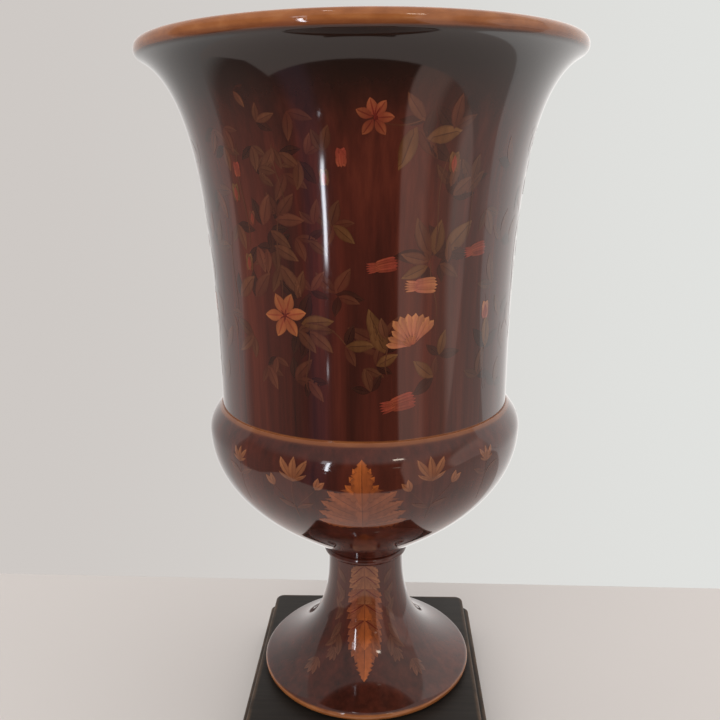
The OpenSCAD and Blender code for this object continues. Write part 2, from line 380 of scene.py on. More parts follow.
def turned(name, section, outside):
    """Sweeps a closed section round the axis: (r sin a, -r cos a, z). The first
    `outside` points of the section get skin = 1, the rest 0."""
    angle = np.arange(AROUND) * 2 * math.pi / AROUND
    r, z = section[:, :1], section[:, 1:]
    points = np.stack([r * np.sin(angle), -r * np.cos(angle), z + 0 * angle], -1).reshape(-1, 3)
    made = put_mesh(name, points, grid_faces(len(section), AROUND))
    mark = made.data.attributes.new("skin", "FLOAT", "POINT")
    side = np.repeat((np.arange(len(section)) < outside).astype(np.float32), AROUND)
    mark.data.foreach_set("value", side)
    print(name, "faces:", len(made.data.polygons))
    return made


BOLT_R, WALL, FLOOR_Z = 4.5, 5.5, 120.0
LIP_R, LIP_Z = 116.9, 398.93
outside_of_bowl = joined(BELLY, SHOULDER, BELL, NOSE)
belly_inside = inset(BELLY, WALL)
belly_inside = belly_inside[belly_inside[:, 1] > FLOOR_Z + WALL / 2][::-1]
inside_of_bowl = joined(BELL_INSIDE[::-1], INNER_BELLY[::-1], belly_inside)
floor_edge = inside_of_bowl[-1, 0] - WALL / 2
bowl_floor = line((floor_edge, FLOOR_Z), (BOLT_R, FLOOR_Z), 10)
bowl_foot = line((BOLT_R, BOWL_Z), (26, BOWL_Z), 6)[:-1]
bowl_section = np.minimum((LIP_R, LIP_Z), joined(outside_of_bowl, inside_of_bowl, bowl_floor, bowl_foot))
bowl = turned("glazed_bowl", bowl_section, len(outside_of_bowl))
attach(bowl, "root")
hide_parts("urn_bowl")

# %% Foot
FOOT_WALL, FOOT_Z, TOP_Z, DECK, REST_R = 5.0, 30.0, 111.0, 8.0, 53.25
hollow = inset(FLARE, -FOOT_WALL)
hollow = hollow[(hollow[:, 0] < REST_R) & (hollow[:, 1] > FOOT_Z + 0.5)]
outside_of_foot = joined(EDGE, FLARE[::-1], NECK_TOP, BEAD)
foot_section = joined(outside_of_foot, line((BOLT_R, TOP_Z), (BOLT_R, TOP_Z - DECK), 3),
                      [(18, TOP_Z - DECK)], hollow, [(REST_R, FOOT_Z), (57, FOOT_Z)])
foot = turned("glazed_foot", foot_section, len(outside_of_foot))
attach(foot, "root")
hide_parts("pedestal_foot")

# %% [markdown]
# ## The mahogany glaze
# The colour is a dark red-brown that ran a little in the kiln, so it has fine
# upright streaks from nearly black to oxblood, and an ochre line is banded on
# at the lip, the waist and the foot's edge. One noise pattern squeezed along
# the height makes the streaks without a seam, and the height itself says where
# the lines are. The gloss is a thin, slightly wavy clear surface.


# %% Patterns and colour
def noise(tree, vector, scale, detail=3.0, roughness=0.5):
    """A noise pattern's value at the given coordinates."""
    return put(tree, "ShaderNodeTexNoise", [("Vector", vector), ("Scale", scale), ("Detail", detail),
                                            ("Roughness", roughness)]).outputs[0]


def stretched(tree, scale=(1, 1, 1)):
    """Object coordinates with each axis multiplied, to draw a pattern out along one."""
    place = put(tree, "ShaderNodeTexCoord").outputs["Object"]
    return put(tree, "ShaderNodeMapping", [("Vector", place), ("Scale", scale)]).outputs[0]


def finished(tree, shader, colour, height, strength, distance, rough=None):
    """Links colour, relief and, if given, roughness to a shader."""
    tree.links.new(colour, shader.inputs["Base Color"])
    bump = put(tree, "ShaderNodeBump", [("Strength", strength), ("Distance", distance), ("Height", height)])
    tree.links.new(bump.outputs[0], shader.inputs["Normal"])
    if rough:
        tree.links.new(rough, shader.inputs["Roughness"])


def glossed(tree, shader, colour):
    """A colour under the faint waviness of a fired gloss: a broad and a slow noise."""
    broad = noise(tree, stretched(tree, (1, 1, 0.5)), 14.0, 0.0)
    slow = noise(tree, stretched(tree, (1, 1, 0.7)), 42.0, 0.0)
    finished(tree, shader, colour, maths(tree, "MULTIPLY_ADD", slow, 0.25, broad), 0.5, 0.0006)


def mahogany_colour(tree):
    """Upright streaks: fine ones over broad ones, dark brown to oxblood."""
    broad = noise(tree, stretched(tree, (1, 1, 0.10)), 26.0, 3.0, 0.55)
    fine = noise(tree, stretched(tree, (1, 1, 0.045)), 210.0, 4.0, 0.6)
    cloud = noise(tree, stretched(tree, (1, 1, 0.5)), 9.0, 2.0)
    mixed = maths(tree, "MULTIPLY_ADD", fine, 0.55, maths(tree, "MULTIPLY", broad, 0.62))
    mixed = maths(tree, "SUBTRACT", mixed, 0.085)
    streaks = ramp(tree, mixed, [(0.30, (0.034, 0.0080, 0.0056)), (0.42, (0.050, 0.0098, 0.0066)),
                                 (0.54, (0.076, 0.0125, 0.0078)), (0.66, (0.112, 0.0170, 0.0095)),
                                 (0.80, (0.150, 0.0270, 0.0130))])
    brown = ramp(tree, mixed, [(0.30, (0.022, 0.0085, 0.0055)), (0.55, (0.056, 0.0190, 0.0110)),
                               (0.80, (0.100, 0.0380, 0.0200))])
    browner = maths(tree, "SMOOTH_MIN", maths(tree, "MULTIPLY", cloud, 0.9), 0.6, 0.1)
    return blend(tree, browner, streaks, brown)


OCHRE_STOPS = [(0.25, (0.235, 0.075, 0.022)), (0.55, (0.305, 0.105, 0.033)), (0.80, (0.37, 0.145, 0.050))]


def banded(tree, low, high, soft=0.5):
    """1 between two heights in mm, 0 outside, with an edge that wavers a little."""
    place = put(tree, "ShaderNodeTexCoord").outputs["Object"]
    z = put(tree, "ShaderNodeSeparateXYZ", [(0, place)]).outputs["Z"]
    waver = maths(tree, "MULTIPLY_ADD", noise(tree, place, 60.0, 2.0), 0.0007, -0.00035)
    z = maths(tree, "ADD", z, waver)
    rise = spread(tree, z, (low - soft) * MM, (low + soft) * MM)
    fall = spread(tree, z, (high - soft) * MM, (high + soft) * MM, 1.0, 0.0)
    return maths(tree, "MULTIPLY", rise, fall)


# %% Glaze
def glaze(name, bands, dark=None):
    """The streaked glaze with ochre lines at the given (low, high) heights in mm; it
    darkens upwards between the two heights of `dark`."""
    material, tree, shader = finish_of(name, 0.07)
    colour = mahogany_colour(tree)
    if dark:
        height = put(tree, "ShaderNodeSeparateXYZ", [(0, stretched(tree))]).outputs["Z"]
        share = spread(tree, height, dark[0] * MM, dark[1] * MM)
        colour = blend(tree, share, colour, (0.0165, 0.0085, 0.0062))
    tone = noise(tree, stretched(tree, (1, 1, 2.0)), 120.0, 3.0)
    ochre = ramp(tree, tone, OCHRE_STOPS)
    skin = put(tree, "ShaderNodeAttribute", attribute_name="skin").outputs["Fac"]
    for low, high in bands:
        share = maths(tree, "MULTIPLY", banded(tree, low, high), skin)
        rust = maths(tree, "MULTIPLY", banded(tree, low - 0.6, low + 1.6, 0.9), skin)
        colour = blend(tree, share, colour, ochre)
        colour = blend(tree, maths(tree, "MULTIPLY", rust, 0.55), colour, (0.130, 0.036, 0.016))
    glossed(tree, shader, colour)
    return material


LIP_LINE, WAIST_LINE, FOOT_LINE, DARK_TOP = (392.3, 400.5), (205.4, 207.5), (28.5, 34.4), (345, 384)
bowl.data.materials.append(glaze("mahogany_glaze_bowl", [LIP_LINE, WAIST_LINE], DARK_TOP))
foot.data.materials.append(glaze("mahogany_glaze_foot", [FOOT_LINE]))
print("glaze nodes:", len(bowl.data.materials[0].node_tree.nodes))

# %% [markdown]
# ## Painting on a turned surface
# The leaves and petals are enamel, about a tenth of a millimetre thick. Each
# one is its own thin closed sheet that follows the wall. A motif is drawn flat,
# in millimetres to the right and upwards from a point on the wall; the sideways
# distance becomes an angle, the upward distance a length along the outline.
# That way a leaf keeps its shape on the bell, the belly and the foot alike.


# %% Wall map
class Wall:
    """An outline as a wall to paint on: radius, height and normal by its length."""

    def __init__(self, outline):
        self.r, self.z = outline.T
        step = np.hypot(np.diff(self.r), np.diff(self.z))
        self.length = np.r_[0, np.cumsum(step)]
        along = np.gradient(outline, self.length, axis=0)
        along /= np.hypot(*along.T)[:, None]
        self.nr, self.nz = along[:, 1], -along[:, 0]

    def at(self, azimuth, length, lift):
        """Points and normals at angles in radians and lengths in mm, lifted off the wall."""
        r, z, nr, nz = (np.interp(length, self.length, v) for v in (self.r, self.z, self.nr, self.nz))
        r, z = r + nr * lift, z + nz * lift
        s, c = np.sin(azimuth), np.cos(azimuth)
        return np.stack([r * s, -r * c, z], -1), np.stack([nr * s, -nr * c, nz], -1)

    def drawn(self, azimuth, height, x, y, lift):
        """A flat drawing (x right, y up, in mm) laid on the wall round a point."""
        length = np.interp(height, self.z, self.length) + y
        radius = np.interp(length, self.length, self.r)
        return self.at(math.radians(azimuth) + x / radius, length, lift)


bell_wall = Wall(joined(BELL, NOSE[:3]))
belly_wall = Wall(joined(BELLY, SHOULDER))
foot_wall = Wall(joined(FLARE[::-1], NECK_TOP))
print("mm along each wall:", [round(wall.length[-1], 1) for wall in (bell_wall, belly_wall, foot_wall)])


# %% [markdown]
# A brush mark has two tips and a middle line. So every mark is a grid of rows
# along the middle line and columns across it, with all the columns meeting in
# one point at each tip. The outline is a half width for each row; teeth are
# added to it, and the rows can sweep forward as the veins of a leaf do.

# %% Brush marks
# in mm: how deep a sheet's underside lies in the glaze, and the steps that keep sheets apart
BURIED, LIFT_STEP, LIFT_STEPS = 0.03, 0.0005, 20
# a sheet's rim stays sharp above this angle; a face is part of its top if it points so much outwards
RIM_ANGLE, FACES_OUT = math.radians(35), 0.8


class Paint:
    """Collects marks and makes one mesh of them, as thin closed sheets."""

    def __init__(self):
        self.points, self.faces, self.normals, self.uv, self.tone = [], [], [], [], []
        self.count = 0

    def mark(self, wall, azimuth, height, x, y, lift, tone):
        """x and y are drawings of rows by columns; the first and last row are tips."""
        rows, columns = x.shape
        lift = lift + LIFT_STEP * (len(self.tone) % LIFT_STEPS)
        top, up = wall.drawn(azimuth, height, x, y, lift)
        under, _ = wall.drawn(azimuth, height, x, y, -BURIED)
        keep = np.ones((rows, columns), bool)
        keep[0, 1:] = keep[-1, 1:] = False
        number = np.cumsum(keep.ravel()).reshape(rows, columns) - 1
        number[0, :], number[-1, :] = number[0, 0], number[-1, 0]
        each = keep.sum()
        row, after = number[:-1], number[1:]
        quads = np.stack([row[:, :-1], row[:, 1:], after[:, 1:], after[:, :-1]], -1).reshape(-1, 4)
        ring = np.r_[number[:, 0], number[::-1, -1][1:-1]]
        rim = np.stack([ring, np.roll(ring, -1), np.roll(ring, -1) + each, ring + each], -1)
        faces = np.vstack([quads, quads[:, ::-1] + each, rim])
        u, v = np.meshgrid(np.linspace(0, 1, columns), np.linspace(0, 1, rows))
        uv = np.stack([u, v], -1)[keep]
        self.points += [top[keep], under[keep]]
        self.normals += [up[keep], -up[keep]]
        self.uv += [uv, uv]
        self.tone += [np.full(2 * each, tone)]
        self.faces += [faces + self.count]
        self.count += 2 * each

    def finish(self, name, material):
        """Builds the object; triangles are quads whose repeated corner is dropped."""
        points, faces = np.vstack(self.points) * MM, np.vstack(self.faces)
        same = (faces == np.roll(faces, -1, axis=1))
        three = same.any(1)
        quads = faces[~three]
        tris = faces[three][~same[three]].reshape(-1, 3)
        mesh = bpy.data.meshes.new(name)
        mesh.from_pydata(points, [], [*map(tuple, quads), *map(tuple, tris)])
        corner = np.zeros(len(mesh.loops), np.int32)
        mesh.loops.foreach_get("vertex_index", corner)
        layer = mesh.uv_layers.new(name="mark")
        layer.data.foreach_set("uv", np.vstack(self.uv)[corner].astype(np.float32).ravel())
        tone = mesh.attributes.new("tone", "FLOAT", "POINT")
        tone.data.foreach_set("value", np.concatenate(self.tone).astype(np.float32))
        mesh.update()
        mesh.shade_smooth()
        mesh.set_sharp_from_angle(angle=RIM_ANGLE)
        face_normal = np.zeros(len(mesh.polygons) * 3, np.float32)
        mesh.polygons.foreach_get("normal", face_normal)
        sides = np.r_[np.full(len(quads), 4), np.full(len(tris), 3)]
        flat = np.repeat(face_normal.reshape(-1, 3), sides, axis=0)
        wall_normal = np.vstack(self.normals)[corner]
        on_sheet = (flat * wall_normal).sum(1) > FACES_OUT
        mesh.normals_split_custom_set(np.where(on_sheet[:, None], wall_normal, flat).tolist())
        made = placed(name, mesh)
        mesh.materials.append(material)
        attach(made, "root")
        print(name, "faces:", len(mesh.polygons))


# %% Leaves as drawings
def frond(length, width, rows=7, columns=5, bend=0.0, belly=0.45, point=1.0, teeth=0, bite=0.0, sweep=0.0):
    """A leaf drawn up from (0, 0): half width = width/2 times a hump that is highest at
    `belly` of the length, cut by saw teeth; rows sweep forward by `sweep` times the half
    width; the middle line bends sideways by `bend` times the length."""
    t = np.linspace(0, 1, rows)[:, None]
    s = np.linspace(-1, 1, columns)[None, :]
    power = math.log(0.5) / math.log(belly)
    half = 0.5 * width * np.sin(math.pi * t ** power) ** point
    if teeth:
        half = half * (1 - bite * ((t * teeth) % 1.0))
    y = t * length + sweep * half * np.abs(s) * (1 - t) ** 0.3
    x = s * half + bend * length * np.sin(math.pi * t / 2) ** 2
    return x, y


def turned_drawing(drawing, degrees):
    """Turns a drawing clockwise from straight up."""
    x, y = drawing
    a = math.radians(degrees)
    return x * math.cos(a) + y * math.sin(a), y * math.cos(a) - x * math.sin(a)


# %% [markdown]
# ## Enamel colours
# A few enamels cover everything: browns and olives for the leaves, ochres with
# a rosy root for the flowers, a red for thistles and buds, and gold and tan for
# the big leaves and the tulips. Each reads the mark's own coordinates: across
# for the middle vein and the shaded half, along for the change of colour from
# root to tip. Some let the streaked glaze show through, as thin enamel does.


# %% Enamels
TONE_SHARE = 0.55


def enamel(name, root, tip, edge, vein, vein_width=0.06, ground=0.0):
    """Colour from root to tip, darker at the outline, with a vein down the middle. The
    share `ground` is how much of the streaked glaze shows through the enamel."""
    material, tree, shader = finish_of(name, 0.07)
    uv = put(tree, "ShaderNodeUVMap", uv_map="mark").outputs[0]
    parts = put(tree, "ShaderNodeSeparateXYZ", [(0, uv)])
    across, along = parts.outputs["X"], parts.outputs["Y"]
    tone = put(tree, "ShaderNodeAttribute", attribute_name="tone").outputs["Fac"]
    middle = tuple((a + b) / 2 for a, b in zip(root, tip))
    colour = ramp(tree, along, [(0.0, root), (0.45, middle), (1.0, tip)])
    off = maths(tree, "ABSOLUTE", maths(tree, "SUBTRACT", across, 0.5))
    colour = blend(tree, maths(tree, "MULTIPLY", spread(tree, off, 0.34, 0.5), 0.7), colour, edge)
    colour = blend(tree, spread(tree, across, 0.46, 0.54, 0.0, 0.35, smooth=False), colour, edge)
    in_vein = spread(tree, off, vein_width * 0.4, vein_width, 0.8, 0.0, smooth=False)
    colour = blend(tree, in_vein, colour, vein)
    grain = noise(tree, stretched(tree, (1, 1, 0.25)), 420.0, 3.0, 0.6)
    grain = maths(tree, "MULTIPLY_ADD", grain, 0.7, 0.62)
    lightness = maths(tree, "MULTIPLY_ADD", tone, TONE_SHARE, 1 - TONE_SHARE / 2)
    strength = maths(tree, "MULTIPLY", grain, lightness)
    shade = put(tree, "ShaderNodeCombineColor", [(channel, strength) for channel in range(3)]).outputs[0]
    colour = blend(tree, 1.0, colour, shade, "MULTIPLY")
    if ground:
        colour = blend(tree, ground, colour, mahogany_colour(tree))
    glossed(tree, shader, colour)
    return material


# root, tip, edge and vein colours, the vein's width, and the share of the glaze that shows
ENAMELS = {
    "olive": ((0.090, 0.030, 0.014), (0.122, 0.047, 0.021),
              (0.052, 0.016, 0.009), (0.042, 0.013, 0.007), 0.06, 0.30),
    "russet": ((0.094, 0.025, 0.013), (0.130, 0.044, 0.021),
               (0.058, 0.015, 0.009), (0.050, 0.013, 0.008), 0.06, 0.35),
    "umber": ((0.030, 0.0105, 0.007), (0.046, 0.0165, 0.0095),
              (0.022, 0.008, 0.0055), (0.018, 0.0065, 0.0045), 0.06, 0.25),
    "straw": ((0.112, 0.044, 0.015), (0.165, 0.073, 0.026),
              (0.070, 0.027, 0.010), (0.052, 0.020, 0.009), 0.06, 0.25),
    "blossom": ((0.24, 0.048, 0.020), (0.32, 0.110, 0.037),
                (0.20, 0.052, 0.020), (0.20, 0.034, 0.016), 0.10, 0.10),
    "coral": ((0.17, 0.024, 0.014), (0.28, 0.078, 0.030),
              (0.16, 0.034, 0.016), (0.12, 0.016, 0.010), 0.10, 0.15),
    "daisy": ((0.29, 0.055, 0.042), (0.40, 0.160, 0.060),
              (0.22, 0.062, 0.032), (0.33, 0.105, 0.055), 0.14, 0.08),
    "thistle": ((0.27, 0.060, 0.026), (0.25, 0.040, 0.024),
                (0.14, 0.024, 0.014), (0.14, 0.020, 0.012), 0.08, 0.20),
    "gold": ((0.20, 0.050, 0.016), (0.36, 0.092, 0.020),
             (0.15, 0.038, 0.014), (0.070, 0.018, 0.009), 0.030, 0.0),
    "husk": ((0.15, 0.040, 0.016), (0.255, 0.072, 0.026),
             (0.120, 0.032, 0.014), (0.045, 0.012, 0.007), 0.030, 0.12),
    "tan": ((0.17, 0.055, 0.022), (0.30, 0.115, 0.048),
            (0.14, 0.045, 0.022), (0.12, 0.038, 0.018), 0.08, 0.15),
    "dusk": ((0.10, 0.034, 0.017), (0.155, 0.055, 0.028),
             (0.085, 0.026, 0.014), (0.07, 0.022, 0.012), 0.08, 0.20),
    "oxblood": ((0.100, 0.012, 0.008), (0.150, 0.020, 0.012),
                (0.060, 0.009, 0.006), (0.050, 0.008, 0.006), 0.06, 0.0),
}
enamels = {key: enamel(key + "_enamel", *look) for key, look in ENAMELS.items()}
print("enamels:", *enamels)

# %% [markdown]
# ## Sprays on the bell
# The bell carries loose sprays of leaves with a lily, a star flower, a daisy
# and four thistles among them. The printer's sheet covers a third of the way
# round, so the same drawing is laid on three times. Leaves are given by where
# their root sits, where their tip points and how long they are.

# %% Bell leaves
PANELS = (0, 120, 240)
LOW, MID, HIGH = 0.050, 0.070, 0.095
LEAF_SCALE, LEAF_SLIMMEST, LEAF_WIDEST, LEAF_BEND = 1.2, 0.38, 0.48, 0.10
chance = np.random.default_rng(7)
paints = {key: Paint() for key in ("olive", "russet", "straw", "umber", "blossom", "coral", "daisy",
                                   "thistle", "stem", "heart")}

# root azimuth and height, tip direction clockwise from up, length in mm, enamel
BELL_LEAVES = [
    # left of the highlight, from the top down
    (-31, 348, 175, 10, "olive"), (-24, 347, 205, 12, "olive"), (-22, 345, 128, 10, "olive"),
    (-18, 362, 180, 11, "russet"), (-16, 341, 195, 11, "olive"), (-9, 345, 18, 10, "olive"),
    (-14, 344, 20, 8, "russet"), (-30, 335, 50, 9, "olive"), (-41, 356, 165, 10, "russet"),
    (-46, 356, 200, 11, "russet"), (-43, 348, 165, 10, "olive"), (-33, 371, 150, 7, "olive"),
    (-28, 358, 70, 9, "olive"), (-30, 338, 98, 8, "olive"), (-21, 336, 200, 12, "russet"),
    (-31, 312, 25, 13, "russet"), (-25, 316, 35, 12, "russet"), (-26, 315, 88, 13, "russet"),
    (-28, 310, 128, 11, "olive"), (-27, 303, 122, 12, "olive"), (-19, 307, 165, 10, "russet"),
    (-15, 306, 128, 10, "olive"), (-34, 302, 160, 11, "russet"), (-30, 301, 178, 10, "russet"),
    (-25, 294, 152, 15, "olive"), (-37, 277, 45, 14, "russet"), (-45, 276, 50, 14, "olive"),
    (-20, 278, 14, 12, "olive"), (-15, 282, 40, 10, "russet"), (-7, 281, 28, 12, "russet"),
    (-6, 280, 115, 9, "russet"), (-13, 313, 8, 10, "russet"), (-8, 312, 20, 11, "olive"),
    (-7, 313, 130, 11, "straw"), (-42, 312, 160, 11, "olive"), (-52, 328, 155, 13, "russet"),
    # round the star flower
    (-19, 266, 78, 14, "straw"), (-20, 263, 145, 12, "olive"), (-16, 263, 138, 13, "olive"),
    (-22, 238, 38, 12, "russet"), (-17, 238, 145, 11, "russet"), (-39, 257, 230, 13, "olive"),
    (-52, 267, 165, 11, "russet"), (-29, 248, 190, 8, "russet"), (-33, 243, 150, 11, "russet"),
    # between star and daisy
    (-4, 256, 96, 12, "straw"), (9, 252, 335, 15, "straw"), (8, 256, 345, 16, "straw"),
    (9, 259, 355, 9, "olive"), (6, 246, 62, 10, "straw"), (2, 245, 165, 10, "olive"),
    (4, 233, 352, 10, "olive"), (26, 238, 308, 12, "straw"), (28, 249, 15, 11, "straw"),
    # the fan on the right
    (23, 298, 340, 16, "olive"), (25, 298, 8, 14, "straw"), (29, 299, 40, 17, "straw"),
    (23, 295, 290, 12, "olive"), (23, 293, 250, 12, "straw"), (27, 294, 122, 11, "olive"),
    (30, 294, 4, 9, "olive"),
    # upper right, by the lily
    (19, 357, 325, 13, "olive"), (17, 355, 206, 17, "straw"), (20, 350, 78, 15, "straw"),
    (28, 354, 5, 13, "russet"), (29, 329, 18, 11, "olive"), (30, 325, 52, 12, "olive"),
    (35, 326, 45, 12, "olive"), (37, 331, 15, 11, "olive"), (45, 318, 150, 12, "olive"),
    # right edge
    (50, 248, 5, 15, "straw"), (46, 234, 14, 13, "olive"), (52, 280, 350, 14, "olive"),
    (56, 302, 20, 13, "russet"), (60, 262, 330, 12, "olive"), (55, 338, 340, 12, "russet"),
    (58, 226, 20, 12, "olive"), (-57, 300, 20, 12, "olive"), (-58, 246, 35, 13, "russet"),
]


# %% Leaves laid on the bell
def leaf(paint, wall, azimuth, height, direction, length, width, lift=MID, tone=0.5, bend=0.0):
    """One plain leaf from its root at a point."""
    x, y = turned_drawing(frond(length, width, bend=bend), direction)
    paint.mark(wall, azimuth, height, x, y, lift, tone)


def bell_leaf(kind, azimuth, height, direction, length, lift, tone):
    """One leaf with a slightly bent middle, from its root."""
    width = length * chance.uniform(LEAF_SLIMMEST, LEAF_WIDEST)
    bend = chance.uniform(-LEAF_BEND, LEAF_BEND)
    leaf(paints[kind], bell_wall, azimuth, height, direction, length, width, lift, tone, bend)


drawn_leaves = 0
for panel in PANELS:
    for azimuth, height, direction, length, kind in BELL_LEAVES:
        length *= LEAF_SCALE
        bell_leaf(kind, azimuth + panel, height, direction, length, LOW, chance.uniform(0.2, 1))
        drawn_leaves += 1
        for side, share in ((-1, 0.9), (1, 0.7)):
            if chance.uniform() < share:
                turn = side * chance.uniform(38, 78)
                shade = "umber" if chance.uniform() < 0.5 else "russet" if kind == "straw" else kind
                bell_leaf(shade, azimuth + panel, height, direction + turn,
                          length * chance.uniform(0.7, 1.0), LOW - 0.018, chance.uniform(0, 0.4))
                drawn_leaves += 1
print("bell leaves:", drawn_leaves)


# %% Flowers
def petals(paint, wall, azimuth, height, directions, length, width, lift=MID, start=0.8, **shape):
    """Petals round a point, each beginning `start` mm out from it."""
    for direction in directions:
        x, y = frond(length, width, **shape)
        x, y = turned_drawing((x, y + start), direction)
        paint.mark(wall, azimuth, height, x, y, lift, chance.uniform(0.25, 1))


def dot(paint, wall, azimuth, height, x0, y0, size, lift=HIGH, tone=0.5):
    """A small round touch of the brush."""
    x, y = frond(size, size, rows=5, columns=5, belly=0.5, point=0.55)
    paint.mark(wall, azimuth, height, x + x0, y + y0 - size / 2, lift, tone)


def stem(paint, wall, azimuth, height, course, width=0.7, lift=LOW, tone=0.4):
    """A thin line through four points in mm, drawn as a Bezier ribbon."""
    middle = bezier(course, 14)
    along = np.gradient(middle, axis=0)
    along /= np.hypot(*along.T)[:, None]
    half = 0.5 * width * np.sin(np.linspace(0, math.pi, len(middle))) ** 0.25
    half[[0, -1]] = 0
    s = np.linspace(-1, 1, 3)[None, :]
    x = middle[:, :1] + along[:, 1:] * half[:, None] * s
    y = middle[:, 1:] - along[:, :1] * half[:, None] * s
    paint.mark(wall, azimuth, height, x, y, lift, tone)


def thistle_head(azimuth, height, direction, size, body="thistle", hair="thistle"):
    """A drawn-out head: narrow florets fanned one way from its neck, hairs the other way."""
    for row in (-2, 2, -1, 1, 0):
        x, y = frond(size * (0.62 - 0.02 * abs(row)), size * 0.12, rows=9, belly=0.5, point=0.32,
                     bend=0.012 * row)
        x, y = turned_drawing((x + row * size * 0.058, y), direction + 1.5 * row)
        lift = MID + 0.005 * (2 - abs(row))
        paints[body].mark(bell_wall, azimuth, height, x, y, lift, chance.uniform(0.3, 1))
    for row in (-2, -1, 0, 1, 2):
        x, y = frond(size * 0.36, size * 0.07, rows=5, columns=3, point=0.6, bend=0.06 * row)
        x, y = turned_drawing((x - row * size * 0.05, y - size * 0.08), direction + 180 - 9 * row)
        paints[hair].mark(bell_wall, azimuth, height, x, y, HIGH, chance.uniform(0.3, 1))


# %% Flowers on the bell
for panel in PANELS:
    # star flower
    spot = (bell_wall, panel - 24.8, 269.3)
    petals(paints["blossom"], *spot, (-25, 20, 80, 148, 204, 268), 10.8, 6.0, belly=0.50, point=0.9, rows=9)
    for direction in (10, 60, 115, 190, 240, 320):
        petals(paints["heart"], *spot, (direction,), 3.4, 0.7, lift=HIGH, start=0.3, rows=5, columns=3)
    dot(paints["heart"], *spot, 0, 0, 1.8)
    # lily
    spot = (bell_wall, panel + 5.3, 358.6)
    petals(paints["coral"], *spot, (-66, -14, 34, 88, 146, 216), 8.0, 4.6, belly=0.5, point=0.8, rows=9)
    petals(paints["heart"], *spot, (-12, 8, 28), 5.6, 0.6, lift=HIGH, start=0.0, rows=5, columns=3)
    dot(paints["heart"], *spot, 0.5, 0, 2.2)
    # daisy seen from the side
    spot = (bell_wall, panel + 18.2, 254.8)
    petals(paints["daisy"], *spot, (-84, -68, -52), 12.4, 3.3, belly=0.72, point=0.7, rows=9)
    petals(paints["daisy"], *spot, (-37, -23, -9, 5, 18, 30, 42), 15.6, 3.9, belly=0.78, point=0.6, rows=9)
    petals(paints["blossom"], *spot, (-60, -35, -12, 10), 5.2, 2.6, lift=HIGH, belly=0.4)
    # thistles
    thistle_head(panel + 6.0, 293.5, 80, 17)
    thistle_head(panel + 18.7, 284.0, 90, 19, "daisy", "daisy")
    thistle_head(panel + 11.0, 225.6, 76, 21)
    thistle_head(panel + 39.5, 298.5, 82, 17)
    # buds
    for azimuth, height, size, kind in ((-3.9, 342.5, 9.0, "thistle"), (-38.8, 337.6, 7.5, "thistle"),
                                        (-41.0, 327.0, 9.0, "straw"), (-38.5, 294.0, 9.0, "straw"),
                                        (-9.0, 334.0, 8.0, "straw"), (-35.0, 315.5, 7.0, "russet"),
                                        (29.5, 340.0, 10.0, "straw"), (49.0, 268.0, 10.0, "daisy")):
        spot = (bell_wall, panel + azimuth, height)
        petals(paints[kind], *spot, (-22, 20), size, size * 0.5, start=-size / 2, belly=0.5, point=0.6)
        petals(paints["thistle"], *spot, (0,), size * 0.8, size * 0.30, lift=HIGH, start=-size / 2, belly=0.5)
print("touches in the flowers' hearts:", len(paints["heart"].tone))

# %% Stems of the bell
BELL_STEMS = [
    (-26, 282, (0, -10), (4, 6), (-3, 18), (2, 34)), (-24, 316, (2, 0), (6, 12), (-4, 22), (0, 34)),
    (-12, 262, (-8, 4), (2, 6), (8, 0), (12, -6)), (10, 240, (0, 0), (-4, 8), (2, 14), (-1, 26)),
    (24, 262, (2, 0), (8, 12), (-2, 22), (0, 34)), (24, 296, (0, 0), (6, 14), (-2, 30), (6, 48)),
    (17, 356, (-16, 1), (-8, -2), (-2, 0), (3, 2)), (38, 300, (-4, 0), (4, 14), (-4, 26), (2, 44)),
    (-38, 300, (0, 0), (6, 14), (-6, 30), (2, 50)), (50, 226, (0, 0), (-5, 14), (4, 30), (-2, 50)),
    (-17, 232, (0, 0), (-4, 8), (4, 18), (0, 26)), (-48, 262, (0, 0), (5, 12), (-4, 30), (3, 46)),
]
for panel in PANELS:
    for azimuth, height, *course in BELL_STEMS:
        stem(paints["stem"], bell_wall, azimuth + panel, height, course)
print("marks on the bell:", sum(len(paint.tone) for paint in paints.values()))

# %% [markdown]
# ## The belly and the foot
# A big serrated leaf stands upright at the front and the back of the belly,
# with tulips all round between them, and under each a garland of the same leaf
# runs down the foot. A leaf like this is drawn tier on tier, each tier with its
# own teeth, as a painter lays one stroke over the last.

# %% Belly leaf
gilt, husks, tulip, bells, twig = (Paint() for _ in range(5))


def tier(paint, wall, azimuth, height, y0, length, width, teeth, lift, direction=0.0, sweep=0.55, belly=0.42):
    """One tier of a serrated leaf, with its root at y0 above the point."""
    x, y = frond(length, width, rows=6 * teeth + 1, columns=9, belly=belly, point=0.8, teeth=teeth, bite=0.34,
                 sweep=sweep)
    if direction:
        x, y = turned_drawing((x, y), direction)
    paint.mark(wall, azimuth, height, x, y + y0, lift, chance.uniform(0.5, 0.9))


def lobes(paint, spot, rows, lift, lift_step):
    """Mirrored pairs of tiers, each (direction, root, length, width, teeth), laid one on another."""
    for order, (direction, y0, length, width, teeth) in enumerate(rows):
        for side in (-1, 1):
            tier(paint, *spot, y0, length, width, teeth, lift + lift_step * order, side * direction, 0.75)


